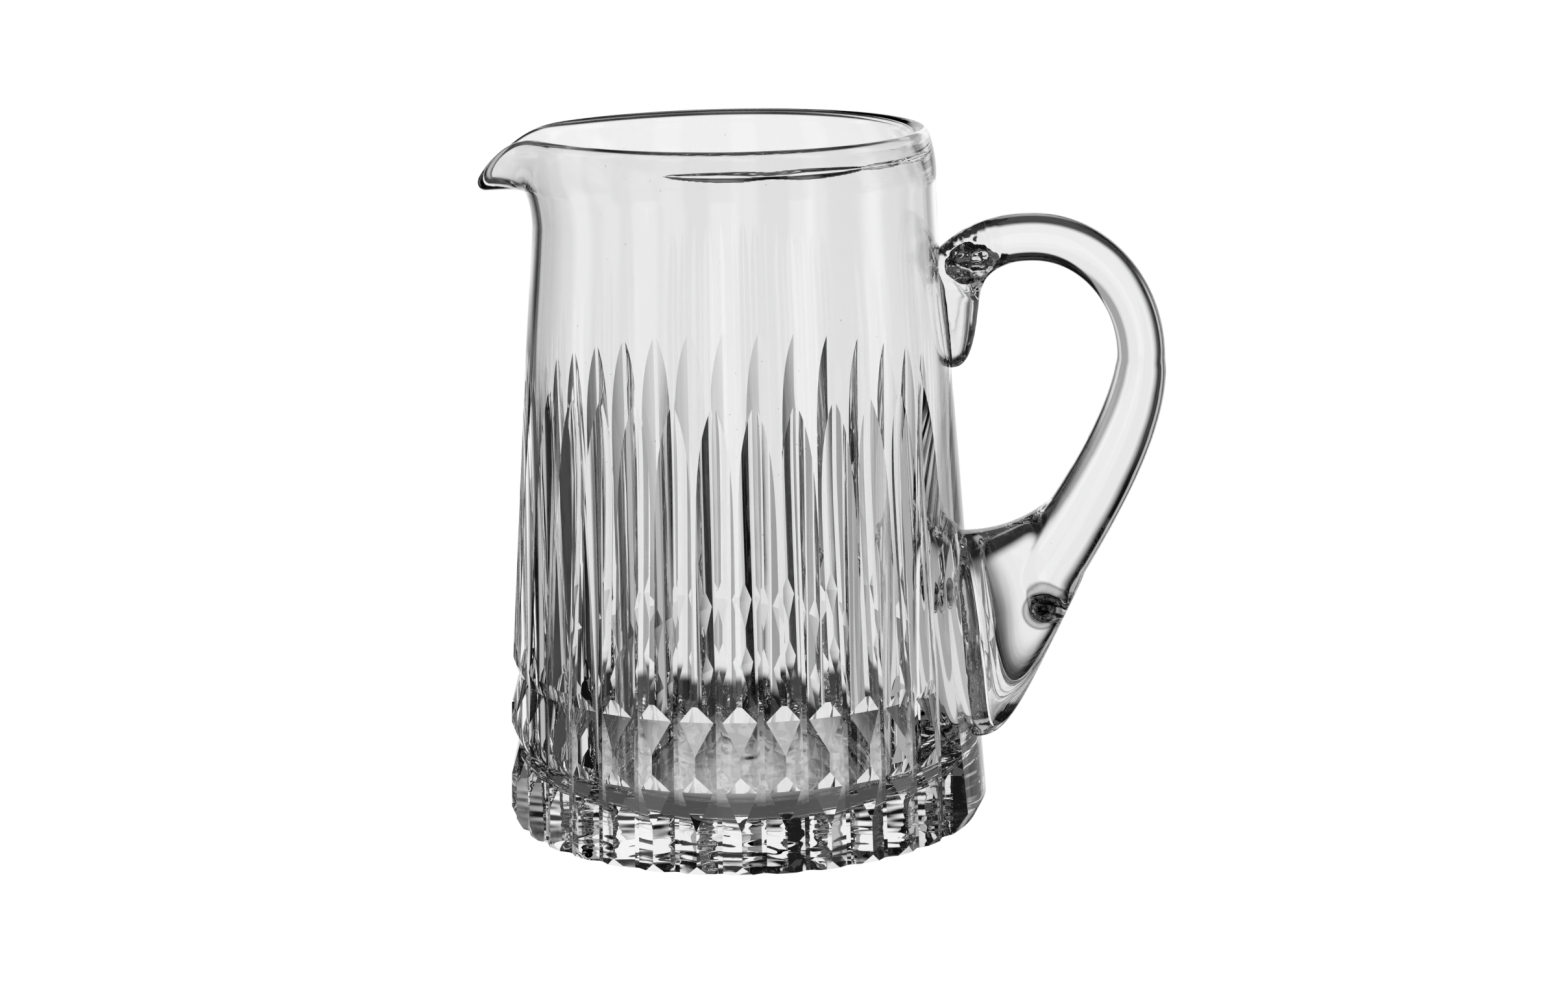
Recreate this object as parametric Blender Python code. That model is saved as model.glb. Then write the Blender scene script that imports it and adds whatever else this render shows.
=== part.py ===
"""Cut-crystal mixing glass with a pouring lip and a hot-applied loop handle.

Metres, +Z up. The origin is the middle of the base, the handle points to +X and the lip to -X.
"""

import math

import bmesh
import bpy
from mathutils import Vector

# Blown body
HEIGHT = 0.180
FOOT_RADIUS = 0.0638
FOOT_CHAMFER_WIDTH = 0.0027
FOOT_CHAMFER_HEIGHT = 0.0045
NECK_DROP = 0.058
NECK_RADIUS = 0.0550
COLLAR_DROP = 0.012
COLLAR_RADIUS = 0.0518
MOUTH_RADIUS = 0.0492
CAVITY_RADIUS = 0.0533
WALL = 0.0024
RIM_THICKNESS = 0.0030
BASE_THICKNESS = 0.0105
CAVITY_CORNER = 0.010
CAVITY_BLEND = 0.0012

# Pouring lip, pulled out of the rim
SPOUT_ROOT_DROP = 0.024
SPOUT_REACH = 0.0127
SPOUT_FALL = 0.0132
SPOUT_WIDTH = 0.0160
SPOUT_SWELL = 0.0055
SPOUT_SWELL_WIDTH = 0.066

# Cut pattern
DIVISIONS = 34
PLAIN_DIVISIONS = 4
FLUTE_TIP_DROP = 0.0625
FLUTE_FULL_HEIGHT = 0.044
FLUTE_DEPTH = 0.00195
FLUTE_FOOT_DEPTH = 0.0038
FLUTE_FLOOR_WIDTH = 0.0012
FLUTE_SLOPE = math.radians(22.5)
FLUTE_RUN_OUT = 2.7
UPPER_RING_HEIGHT = 0.0388
UPPER_RING_RISE = 0.0052
UPPER_RING_FALL = 0.0068
LOWER_RING_HEIGHT = 0.0208
LOWER_RING_RISE = 0.0049
LOWER_RING_FALL = 0.0083
RING_DEPTH = 0.0021

# Loop handle
HANDLE_THICKNESS = 0.0123
HANDLE_ROOT_THICKNESS = 0.0185
SEAT_DROP = 0.0395
CREST_DROP = 0.0279
CREST_STANDOFF = 0.0243
BEND_DROP = 0.059
BEND_STANDOFF = 0.0491
ROOT_HEIGHT = 0.0629
ROOT_STANDOFF = 0.0190
PAD_FOOT_HEIGHT = 0.0205
PAD_TOP_HEIGHT = 0.0745
PAD_FOOT_STANDOFF = 0.0070
PAD_FOOT_REACH = 0.0300
PAD_TOP_RISE = 0.0110
PAD_TOP_REACH = 0.0254
PAD_WIDTH = 0.0275
WEB_WIDTH = 0.0125
TONGUE_TIP_DROP = 0.062
TONGUE_THICKNESS = 0.0104
TONGUE_WIDTH = 0.0165
CROOK_FLARE = 0.0098

# Fits
SEAT_GAP = 0.0003
CUT_MARGIN = 0.004

PITCH = 2.0 * math.pi / DIVISIONS
FLUTE_TIP_HEIGHT = HEIGHT - FLUTE_TIP_DROP
GLASS_COLOUR = (0.93, 0.94, 0.95, 1.0)
GLASS_ROUGHNESS = 0.02
GLASS_INDEX = 1.53


def clear_scene():
    for item in list(bpy.data.objects):
        bpy.data.objects.remove(item, do_unlink=True)


def glass_material(name):
    material = bpy.data.materials.new(name)
    material.use_nodes = True
    shader = material.node_tree.nodes["Principled BSDF"]
    shader.inputs["Base Color"].default_value = GLASS_COLOUR
    shader.inputs["Roughness"].default_value = GLASS_ROUGHNESS
    shader.inputs["Metallic"].default_value = 0.0
    shader.inputs["Transmission Weight"].default_value = 1.0
    shader.inputs["IOR"].default_value = GLASS_INDEX
    material.diffuse_color = GLASS_COLOUR
    return material


def mix(a, b, share):
    return a + (b - a) * share


def bezier(points, share):
    """The point at a share of the way along a Bezier curve of any degree."""
    while len(points) > 1:
        points = [mix(a, b, share) for a, b in zip(points, points[1:])]
    return points[0]


def steps(count):
    """Even shares from 0 to 1, both ends in."""
    return [i / count for i in range(count + 1)]


def wall_radius(height):
    """Outer radius of the uncut wall: a straight taper, a drawn-in neck, and a rim that curls in."""
    neck = HEIGHT - NECK_DROP
    collar = HEIGHT - COLLAR_DROP
    if height <= neck:
        return mix(FOOT_RADIUS, NECK_RADIUS, height / neck)
    if height <= collar:
        share = (height - neck) / (collar - neck)
        run_on = NECK_RADIUS + (NECK_RADIUS - FOOT_RADIUS) / neck * (collar - neck) / 3.0
        return bezier([NECK_RADIUS, run_on, COLLAR_RADIUS, COLLAR_RADIUS], share)
    curl = (height - collar) / COLLAR_DROP
    return mix(COLLAR_RADIUS, MOUTH_RADIUS, curl * curl)


def wall_thickness(height):
    """Even in the neck, growing to the fire-polished bead of the rim."""
    bead = max(0.0, (height - HEIGHT + COLLAR_DROP) / COLLAR_DROP)
    return mix(WALL, RIM_THICKNESS, min(bead, 1.0))


def cavity_radius(height):
    """Inner radius below the neck: a straight bore that gives way to an even wall."""
    gap = CAVITY_RADIUS - (wall_radius(height) - WALL)
    return CAVITY_RADIUS - 0.5 * (gap + math.hypot(gap, CAVITY_BLEND))


def spout_weight(angle, width):
    """How far the rim is pulled at an angle: 1 in the middle of the lip, fading out along the rim."""
    across = abs(abs(angle) - math.pi) * MOUTH_RADIUS
    return math.exp(-((2.0 * across / width) ** 2))


def upper_wall(angle, share):
    """Middle of the wall from the root of the lip to the rim's bead, bent out where the lip is pulled."""
    root = HEIGHT - SPOUT_ROOT_DROP
    height = mix(root, HEIGHT - RIM_THICKNESS / 2.0, share)
    ease = 1.5
    swell = SPOUT_SWELL * spout_weight(angle, SPOUT_SWELL_WIDTH) * share**ease
    plain = wall_radius(height) - wall_thickness(height) / 2.0 + swell
    foot = Vector((wall_radius(root) - WALL / 2.0, root))
    tip = Vector((COLLAR_RADIUS + SPOUT_REACH, HEIGHT - SPOUT_FALL))
    knee = Vector((foot.x, tip.y))
    rise = mix(foot, knee, 0.95)
    bend = mix(knee, tip, 0.12)
    pulled = bezier([foot, rise, bend, tip], share)
    weight = spout_weight(angle, SPOUT_WIDTH)
    return Vector((mix(plain, pulled.x, weight), mix(height, pulled.y, weight**ease)))


def bead_points(centre, along, sides):
    """Fire-polished round of the rim, from its outer side over the top to its inner side."""
    outward = Vector((along.y, -along.x))
    turns = [math.pi * share for share in steps(sides)[1:-1]]
    half = RIM_THICKNESS / 2.0
    return [centre + half * (outward * math.cos(turn) + along * math.sin(turn)) for turn in turns]


def column(angle):
    """Half of the body's section at an angle: base, outside, rim, inside and cavity floor."""
    points = [Vector((0.0, 0.0))]
    points.append(Vector((wall_radius(0.0) - FOOT_CHAMFER_WIDTH, 0.0)))
    root = HEIGHT - SPOUT_ROOT_DROP
    neck = HEIGHT - NECK_DROP
    rows = [mix(FOOT_CHAMFER_HEIGHT, neck, share) for share in steps(2)]
    rows += [mix(neck, root, share) for share in steps(4)[1:-1]]
    points += [Vector((wall_radius(row), row)) for row in rows]

    middle = [upper_wall(angle, share) for share in steps(8)]
    inside = []
    for i, point in enumerate(middle):
        before = middle[max(i - 1, 0)]
        after = middle[min(i + 1, len(middle) - 1)]
        along = (after - before).normalized()
        half = wall_thickness(mix(root, HEIGHT, i / (len(middle) - 1))) / 2.0
        outward = Vector((along.y, -along.x)) * half
        points.append(point + outward)
        inside.append(point - outward)
    points += bead_points(middle[-1], along, 4)
    points += reversed(inside)

    corner = BASE_THICKNESS + CAVITY_CORNER
    inner_rows = [mix(root, neck, share) for share in steps(3)[1:]]
    inner_rows += [mix(neck, corner, share) for share in steps(3)[1:]]
    points += [Vector((cavity_radius(row), row)) for row in inner_rows]
    centre = Vector((cavity_radius(corner) - CAVITY_CORNER, corner))
    for share in steps(4)[1:]:
        turn = math.pi / 2.0 * share
        points.append(centre + CAVITY_CORNER * Vector((math.cos(turn), -math.sin(turn))))
    points.append(Vector((0.0, BASE_THICKNESS)))
    return points


def column_angles():
    """Two columns for each cut, between its floor and its ridges, and twice as many around the lip."""
    half = PITCH / 2.0
    least_pull = 0.001
    angles = []
    for i in range(2 * DIVISIONS):
        angle = -math.pi + half * (i + 0.5)
        between = angle + half / 2.0
        angles.append(angle)
        if spout_weight(between, SPOUT_WIDTH) > least_pull:
            angles.append(between)
    return angles


def turned_mesh(name, columns, angles):
    """Closed mesh from half sections that begin and end on the Z axis."""
    mesh = bmesh.new()
    bottom = mesh.verts.new((0.0, 0.0, columns[0][0].y))
    top = mesh.verts.new((0.0, 0.0, columns[0][-1].y))
    loops = []
    for points, angle in zip(columns, angles):
        turn = Vector((math.cos(angle), math.sin(angle), 0.0))
        loops.append([mesh.verts.new(turn * p.x + Vector((0.0, 0.0, p.y))) for p in points[1:-1]])
    for here, after in zip(loops, loops[1:] + loops[:1]):
        mesh.faces.new((bottom, after[0], here[0]))
        for i in range(len(here) - 1):
            mesh.faces.new((here[i], after[i], after[i + 1], here[i + 1]))
        mesh.faces.new((here[-1], after[-1], top))
    return finish_mesh(name, mesh)


def finish_mesh(name, mesh):
    bmesh.ops.recalc_face_normals(mesh, faces=mesh.faces)
    data = bpy.data.meshes.new(name)
    mesh.to_mesh(data)
    mesh.free()
    item = bpy.data.objects.new(name, data)
    bpy.context.collection.objects.link(item)
    return item


def loft(mesh, rings):
    """Closed skin over rings of points, with a flat cap at each end."""
    loops = [[mesh.verts.new(point) for point in ring] for ring in rings]
    for here, after in zip(loops, loops[1:]):
        for i in range(len(here)):
            j = (i + 1) % len(here)
            mesh.faces.new((here[i], here[j], after[j], after[i]))
    mesh.faces.new(reversed(loops[0]))
    mesh.faces.new(loops[-1])


def flute_floor(height):
    """Radius of the bottom line of a flute, which runs out of the wall at its pointed top."""
    if height <= FLUTE_FULL_HEIGHT:
        return wall_radius(height) - mix(FLUTE_FOOT_DEPTH, FLUTE_DEPTH, height / FLUTE_FULL_HEIGHT)
    rise = (height - FLUTE_FULL_HEIGHT) / (FLUTE_TIP_HEIGHT - FLUTE_FULL_HEIGHT)
    return wall_radius(height) - FLUTE_DEPTH * (1.0 - rise**FLUTE_RUN_OUT)


def flute_angles():
    """Middles of the flutes: all divisions but the plain ones under the handle."""
    first = PLAIN_DIVISIONS / 2.0 + 0.5
    return [PITCH * (first + i) for i in range(DIVISIONS - PLAIN_DIVISIONS)]


def flute_ring(angle, height):
    """Section of the wheel at a height: a narrow flat floor, two facets, and straight sides outside."""
    floor = flute_floor(height)
    half = FLUTE_FLOOR_WIDTH / 2.0
    neighbour = FOOT_RADIUS * math.sin(PITCH)
    widest = 0.95 * neighbour
    rise = (widest - half) * math.tan(FLUTE_SLOPE)
    outside = floor + max(rise, FLUTE_FOOT_DEPTH) + CUT_MARGIN
    flat = [(floor, half), (floor + rise, widest), (outside, widest)]
    section = flat + [(x, -y) for x, y in reversed(flat)]
    out = Vector((math.cos(angle), math.sin(angle), 0.0))
    side = Vector((-out.y, out.x, 0.0))
    return [out * x + side * y + Vector((0.0, 0.0, height)) for x, y in section]


def flute_cutter(name, angles):
    """A set of flutes as one cutter, with rows that lie closer towards their pointed tops."""
    closer = 0.7
    rows = [-CUT_MARGIN]
    rows += [mix(FLUTE_FULL_HEIGHT, FLUTE_TIP_HEIGHT, share**closer) for share in steps(7)[:-1]]
    rows.append(FLUTE_TIP_HEIGHT + CUT_MARGIN)
    mesh = bmesh.new()
    for angle in angles:
        loft(mesh, [flute_ring(angle, row) for row in rows])
    return as_cutter(finish_mesh(name, mesh))


def ridge_radius(height):
    """Radius of the sharp ridge between two flutes, or of the wall where it is still uncut."""
    slope = math.tan(FLUTE_SLOPE)
    spread = math.tan(PITCH / 2.0)
    reach = flute_floor(height) - FLUTE_FLOOR_WIDTH / 2.0 * slope
    ridge = reach / (1.0 - spread * slope) / math.cos(PITCH / 2.0)
    return min(ridge, wall_radius(height))


def ring_section(height, rise, fall):
    """V of one horizontal cut at a corner of its ring, whose straight sides cross the ridges."""
    bottom = (ridge_radius(height) - RING_DEPTH) / math.cos(PITCH / 2.0)
    run_on = (RING_DEPTH + CUT_MARGIN) / RING_DEPTH
    outside = bottom + RING_DEPTH * run_on
    return [(bottom, height), (outside, height - fall * run_on), (outside, height + rise * run_on)]


def ring_cutter(name, height, rise, fall):
    """V cut from one border flute round to the other, straight across each ridge."""
    ends = (flute_angles()[0], flute_angles()[-1])
    count = DIVISIONS - PLAIN_DIVISIONS - 1
    rings = []
    for share in steps(count):
        angle = mix(ends[0], ends[1], share)
        out = Vector((math.cos(angle), math.sin(angle), 0.0))
        section = ring_section(height, rise, fall)
        rings.append([out * x + Vector((0.0, 0.0, z)) for x, z in section])
    mesh = bmesh.new()
    loft(mesh, rings)
    return as_cutter(finish_mesh(name, mesh))


def as_cutter(item):
    item.hide_render = True
    item.display_type = "WIRE"
    return item


def boolean(item, other, operation):
    modifier = item.modifiers.new(other.name, "BOOLEAN")
    modifier.operation = operation
    modifier.object = other
    modifier.solver = "EXACT"


def shade(item, material, sharp_angle):
    item.data.materials.append(material)
    item.data.shade_smooth()
    item.data.set_sharp_from_angle(angle=sharp_angle)


def make_body():
    angles = column_angles()
    body = turned_mesh("glass_body", [column(angle) for angle in angles], angles)
    shade(body, glass_material("body_crystal"), math.radians(25.0))
    upper = ring_cutter("upper_ring", UPPER_RING_HEIGHT, UPPER_RING_RISE, UPPER_RING_FALL)
    lower = ring_cutter("lower_ring", LOWER_RING_HEIGHT, LOWER_RING_RISE, LOWER_RING_FALL)
    boolean(body, upper, "DIFFERENCE")
    boolean(body, lower, "DIFFERENCE")
    flutes = flute_angles()
    boolean(body, flute_cutter("flutes_even", flutes[0::2]), "DIFFERENCE")
    boolean(body, flute_cutter("flutes_odd", flutes[1::2]), "DIFFERENCE")


def off_wall(height, standoff):
    """Point in the handle's plane, given by its height and its distance from the wall."""
    return Vector((wall_radius(height) + standoff, 0.0, height))


def handle_path(samples):
    """Middle line of the rod, from the upper seat over the crest and the bend to the lower root."""
    seat = off_wall(HEIGHT - SEAT_DROP, -WALL / 2.0)
    crest = off_wall(HEIGHT - CREST_DROP, CREST_STANDOFF)
    bend = off_wall(HEIGHT - BEND_DROP, BEND_STANDOFF)
    root = off_wall(ROOT_HEIGHT, ROOT_STANDOFF)
    quarter_round = 0.552
    rise = Vector((mix(seat.x, crest.x, 0.45), 0.0, crest.z))
    top_corner = Vector((bend.x, 0.0, crest.z))
    lower_corner = Vector((bend.x, 0.0, mix(bend.z, root.z, 0.30)))
    slant = mix(root, lower_corner, 0.42)
    spans = [
        [seat, mix(seat, rise, 0.5), rise, crest],
        [crest, mix(crest, top_corner, quarter_round), mix(bend, top_corner, quarter_round), bend],
        [bend, lower_corner, slant, root],
    ]
    path = [seat]
    for span in spans:
        path += [bezier(span, share) for share in steps(samples)[1:]]
    return path


def oval(centre, half_height, half_width):
    """Ring of points about a centre: one half axis lies in the handle's plane, the other across it."""
    sides = 20
    ring = []
    for i in range(sides):
        turn = 2.0 * math.pi * i / sides
        across = Vector((0.0, half_width * math.sin(turn), 0.0))
        ring.append(centre + half_height * math.cos(turn) + across)
    return ring


def make_rod():
    """Round rod of the loop, thicker towards the lower root and rounded off there."""
    samples = 8
    swell_curve = 0.7
    path = handle_path(samples)
    thin = HANDLE_THICKNESS / 2.0
    thick = HANDLE_ROOT_THICKNESS / 2.0
    rings = []
    for i, point in enumerate(path):
        before = path[max(i - 1, 0)]
        after = path[min(i + 1, len(path) - 1)]
        along = (after - before).normalized()
        normal = Vector((-along.z, 0.0, along.x))
        past_bend = max(0.0, i / samples - 2.0)
        radius = mix(thin, thick, past_bend**swell_curve)
        rings.append(oval(point, normal * radius, radius))
    for share in steps(4)[1:-1]:
        turn = math.pi / 2.0 * share
        radius = thick * math.cos(turn)
        rings.append(oval(path[-1] + along * thick * math.sin(turn), normal * radius, radius))
    mesh = bmesh.new()
    loft(mesh, rings)
    return finish_mesh("loop_handle", mesh)


def make_pad():
    """Flattened fan that carries the lower root, widest where it is pressed on the wall."""
    sunk = -WALL
    top = off_wall(PAD_TOP_HEIGHT, sunk)
    top_end = off_wall(PAD_TOP_HEIGHT + PAD_TOP_RISE, PAD_TOP_REACH)
    crotch = Vector((mix(top.x, top_end.x, 0.58), 0.0, top.z))
    foot = off_wall(PAD_FOOT_HEIGHT, sunk)
    foot_end = off_wall(ROOT_HEIGHT, PAD_FOOT_REACH)
    corner = off_wall(PAD_FOOT_HEIGHT, PAD_FOOT_STANDOFF)
    toe = mix(corner, foot_end, 0.06)
    flare = 3
    rings = []
    for share in steps(8):
        upper = bezier([top, crotch, top_end], share)
        lower = bezier([foot, corner, toe, foot_end], share)
        half_width = mix(WEB_WIDTH, PAD_WIDTH, (1.0 - share) ** flare) / 2.0
        rings.append(oval((upper + lower) / 2.0, (upper - lower) / 2.0, half_width))
    mesh = bmesh.new()
    loft(mesh, rings)
    return as_cutter(finish_mesh("lower_pad", mesh))


def make_tongue():
    """End of the rod, pressed down the wall below the upper seat and thinning to a round tip."""
    tip = HEIGHT - TONGUE_TIP_DROP
    crook = HEIGHT - CREST_DROP - HANDLE_THICKNESS / 2.0
    inside_rod = 0.85 * HANDLE_THICKNESS
    tip_curve = 0.35
    flare_curve = 10
    draw_in = 4
    rings = []
    for share in (0.01, 0.05, 0.15, 0.35, 0.6, 0.75, 0.88, 0.96, 1.0):
        height = mix(tip, crook, share)
        fullness = share**tip_curve
        flare = CROOK_FLARE * share**flare_curve
        depth = WALL / 2.0 + TONGUE_THICKNESS * fullness + flare
        half_width = mix(TONGUE_WIDTH, inside_rod, share**draw_in) / 2.0 * fullness
        centre = off_wall(height, -WALL / 2.0)
        rings.append(oval(centre, Vector((depth, 0.0, 0.0)), half_width))
    mesh = bmesh.new()
    loft(mesh, rings)
    return as_cutter(finish_mesh("upper_tongue", mesh))


def make_seat():
    """The uncut wall with a gap, which shapes the two ends of the handle."""
    angles = column_angles()
    rows = [0.0, FOOT_CHAMFER_HEIGHT]
    neck = HEIGHT - NECK_DROP
    rows += [mix(FOOT_CHAMFER_HEIGHT, neck, share) for share in steps(2)[1:]]
    rows += [mix(neck, HEIGHT - SPOUT_ROOT_DROP, share) for share in steps(4)[1:]]
    rows += [mix(HEIGHT - SPOUT_ROOT_DROP, HEIGHT, share) for share in steps(4)[1:]]
    points = [Vector((wall_radius(row) + SEAT_GAP, row)) for row in rows]
    section = [Vector((0.0, 0.0))] + points + [Vector((0.0, HEIGHT))]
    return as_cutter(turned_mesh("handle_seat", [section] * len(angles), angles))


def make_handle():
    handle = make_rod()
    shade(handle, glass_material("handle_crystal"), math.radians(40.0))
    boolean(handle, make_pad(), "UNION")
    boolean(handle, make_tongue(), "UNION")
    boolean(handle, make_seat(), "DIFFERENCE")


clear_scene()
make_body()
make_handle()
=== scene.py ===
import math

import bmesh
import bpy
from mathutils import Matrix, Quaternion, Vector, noise


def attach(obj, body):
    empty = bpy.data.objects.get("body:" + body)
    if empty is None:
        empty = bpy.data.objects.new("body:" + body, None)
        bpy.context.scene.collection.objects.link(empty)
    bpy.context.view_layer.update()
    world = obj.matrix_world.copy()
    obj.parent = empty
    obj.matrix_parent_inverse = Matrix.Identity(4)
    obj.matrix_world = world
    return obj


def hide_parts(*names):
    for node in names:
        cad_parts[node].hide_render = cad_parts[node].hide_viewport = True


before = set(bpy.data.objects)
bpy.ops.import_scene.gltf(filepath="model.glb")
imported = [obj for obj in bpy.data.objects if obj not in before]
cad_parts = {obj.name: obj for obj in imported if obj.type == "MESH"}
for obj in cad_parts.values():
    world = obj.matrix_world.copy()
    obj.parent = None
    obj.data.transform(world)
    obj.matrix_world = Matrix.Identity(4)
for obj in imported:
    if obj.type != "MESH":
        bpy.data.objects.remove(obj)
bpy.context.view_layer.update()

# Blown body, in metres
HEIGHT = 0.180
FOOT_RADIUS = 0.0638
FOOT_CHAMFER_WIDTH = 0.0027
FOOT_CHAMFER_HEIGHT = 0.0045
NECK_DROP = 0.058
NECK_RADIUS = 0.0550
COLLAR_DROP = 0.012
COLLAR_RADIUS = 0.0518
MOUTH_RADIUS = 0.0492
CAVITY_RADIUS = 0.0533
WALL = 0.0024
RIM_THICKNESS = 0.0043
RIM_ROUND = 0.0022
BASE_THICKNESS = 0.0105
CAVITY_CORNER = 0.010
CAVITY_BLEND = 0.0012
BASE_WAVE = 0.00015
BASE_WAVE_SIZE = 0.0075
BASE_WAVE_REACH = 0.056

# Folds left in the glass under the rim, beside the handle: first and last angle, height and width
FOLDS = (
    (math.radians(-104.0), math.radians(-42.0), 0.0014, 0.0042),
    (math.radians(-46.0), math.radians(-6.0), 0.0008, 0.0024),
)
FOLD_DROP = 0.0038
FOLD_PINCH = 0.45
FOLD_PINCH_SHARE = 0.12

# Pouring lip, pulled out of the rim
SPOUT_ROOT_DROP = 0.024
SPOUT_REACH = 0.0127
SPOUT_FALL = 0.0132
SPOUT_WIDTH = 0.0220
SPOUT_SWELL = 0.0055
SPOUT_SWELL_WIDTH = 0.066

# Cut pattern
DIVISIONS = 34
PLAIN_DIVISIONS = 4
FLUTE_TIP_DROP = 0.0625
FLUTE_FULL_HEIGHT = 0.044
FLUTE_DEPTH = 0.00195
FLUTE_FOOT_DEPTH = 0.0038
FLUTE_FLOOR_WIDTH = 0.0012
FLUTE_SLOPE = math.radians(22.5)
FLUTE_RUN_OUT = 7.0
UPPER_RING = (0.0388, 0.0052, 0.0068)
LOWER_RING = (0.0208, 0.0049, 0.0083)
RING_DEPTH = 0.0021

# Loop handle
HANDLE_THICKNESS = 0.0123
HANDLE_ROOT_THICKNESS = 0.0185
SEAT_DROP = 0.0395
CREST_DROP = 0.0279
CREST_STANDOFF = 0.0243
BEND_DROP = 0.059
BEND_STANDOFF = 0.0491
ROOT_HEIGHT = 0.0629
ROOT_STANDOFF = 0.0190
PAD_FOOT_HEIGHT = 0.0205
PAD_TOP_HEIGHT = 0.0745
PAD_FOOT_STANDOFF = 0.0070
PAD_FOOT_REACH = 0.0300
PAD_TOP_RISE = 0.0110
PAD_TOP_REACH = 0.0254
PAD_WIDTH = 0.0285
WEB_WIDTH = 0.0150
TONGUE_TIP_DROP = 0.062
TONGUE_THICKNESS = 0.0104
TONGUE_WIDTH = 0.0165
CROOK_FLARE = 0.0098
SEAT_SINK = 0.0008
ROD_SQUARENESS = 0.85
PAD_SQUARENESS = 0.6

# Marks of the hot work on the handle: wrinkles at its upper seat, and a round swirl at its lower root
# whose darkness is painted shade
WRINKLE_PLACE = Vector((0.0615, 0.0, 0.1455))
WRINKLE_EDGE = (0.006, 0.011)
WRINKLE_SIZE = 0.004
WRINKLE_HEIGHT = 0.0025
SWIRL_PLACE = Vector((0.0788, 0.0, 0.0556))
SWIRL_EDGE = (0.0048, 0.0056)
SWIRL_PITCH = 0.0021
SWIRL_SHADE_DARKNESS = 0.8
SWIRL_CONTRAST = 0.2

# Air caught in the handle: place, half lengths and tilt
AIR_POCKETS = (
    (SWIRL_PLACE, Vector((0.0042, 0.0042, 0.0042)), 0.0),
    (Vector((0.0612, 0.0, 0.1454)), Vector((0.0066, 0.0038, 0.0042)), math.radians(-19.0)),
)

# Fineness of the meshes
COLUMNS = 16 * DIVISIONS
BASE_ROWS = 30
WALL_ROWS = 24
NECK_ROWS = 18
LIP_ROWS = 26
FOLD_ROWS = 40
RIM_SIDES = 20
BORE_ROWS = 64
CORNER_ROWS = 16
FLUTE_ROWS = 40
CORE_ROWS = 60
HANDLE_SIDES = 64
HANDLE_SAMPLES = 24
HANDLE_END_ROWS = 12
HANDLE_VOXEL = 0.0005
HANDLE_SMOOTHING = 30
CUT_MARGIN = 0.004
BODY_SHARP_ANGLE = math.radians(13.0)
HANDLE_SHARP_ANGLE = math.radians(40.0)

# Glass: ripples by their size and height, specks by their count in a metre
BODY_COLOUR = (0.94, 0.94, 0.942, 1.0)
HANDLE_COLOUR = (0.88, 0.88, 0.882, 1.0)
SPECK_COLOUR = (0.5, 0.5, 0.5, 1.0)
# Painted shade that darkens the swirl at the handle's lower root
SWIRL_SHADE_COLOUR = (0.02, 0.02, 0.02, 1.0)
WHITE = (1.0, 1.0, 1.0, 1.0)
BLACK = (0.0, 0.0, 0.0, 1.0)
GLASS_INDEX = 1.53
BODY_RIPPLE = (0.030, 0.00006)
HANDLE_RIPPLE = (0.012, 0.00008)
DULL_SIZE = 0.022
DULL_EDGE = (0.55, 0.80)
DULL_ROUGHNESS = 0.02
SPECK_COUNT = 140.0
SPECK_EDGE = (0.02, 0.04)
BODY, HANDLE, SEAM = range(3)

# Upright light panels round the glass: aim, inner and outer edge of the soft side in degrees, and level
PANELS = (
    (92.0, 15.0, 31.0, 1.0),
    (40.0, 28.0, 60.0, 0.45),
    (45.0, 5.0, 9.0, 0.8),
    (136.0, 3.0, 7.0, 0.55),
    (180.0, 5.0, 10.0, 0.85),
    (225.0, 5.0, 10.0, 0.9),
    (270.0, 5.0, 10.0, 0.95),
    (315.0, 5.0, 10.0, 0.9),
    (0.0, 5.0, 10.0, 0.95),
)

# Edges of the light by elevation in degrees, and levels of what lies beyond them
PANEL_TOP = (14.0, 19.0)
PANEL_FOOT = (-36.0, -26.0)
PANEL_FOOT_LEVEL = 0.03
CEILING = (55.0, 65.0)
CEILING_LEVEL = 0.12
TABLE = (-68.0, -54.0)
TABLE_LEVEL = 0.5
DARK_LEVEL = 0.005
# Painted contact shadow under the base, with a painted pool of light in its middle: its edge and levels
SHADOW_EDGE = (0.018, 0.044)
SHADOW_LEVEL = 0.09
SHADOW_LIGHT_POOL_LEVEL = 0.7
LIGHT_BOUNCES = 40
GLOSSY_BOUNCES = 12

# Camera, for a picture of 2417 by 1512
CAMERA_PLACE = Vector((0.1131, -0.9681, 0.2927))
CAMERA_AIM = Vector((-0.1022, 0.9727, -0.2082))
CAMERA_ROLL = math.radians(-1.04)
CAMERA_LENS = 87.55
CAMERA_SENSOR = 36.0
CAMERA_NEAR = 0.01

PITCH = 2.0 * math.pi / DIVISIONS
FLUTE_TIP_HEIGHT = HEIGHT - FLUTE_TIP_DROP


def mix(a, b, share):
    return a + (b - a) * share


def bezier(points, share):
    """The point at a share of the way along a Bezier curve of any degree."""
    while len(points) > 1:
        points = [mix(a, b, share) for a, b in zip(points, points[1:])]
    return points[0]


def steps(count):
    """Even shares from 0 to 1, both ends in."""
    return [i / count for i in range(count + 1)]


def polar(angle, radius, height):
    return Vector((radius * math.cos(angle), radius * math.sin(angle), height))


# Mesh helpers


def finish_mesh(name, mesh):
    bmesh.ops.recalc_face_normals(mesh, faces=mesh.faces)
    data = bpy.data.meshes.new(name)
    mesh.to_mesh(data)
    mesh.free()
    item = bpy.data.objects.new(name, data)
    bpy.context.scene.collection.objects.link(item)
    return item


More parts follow.
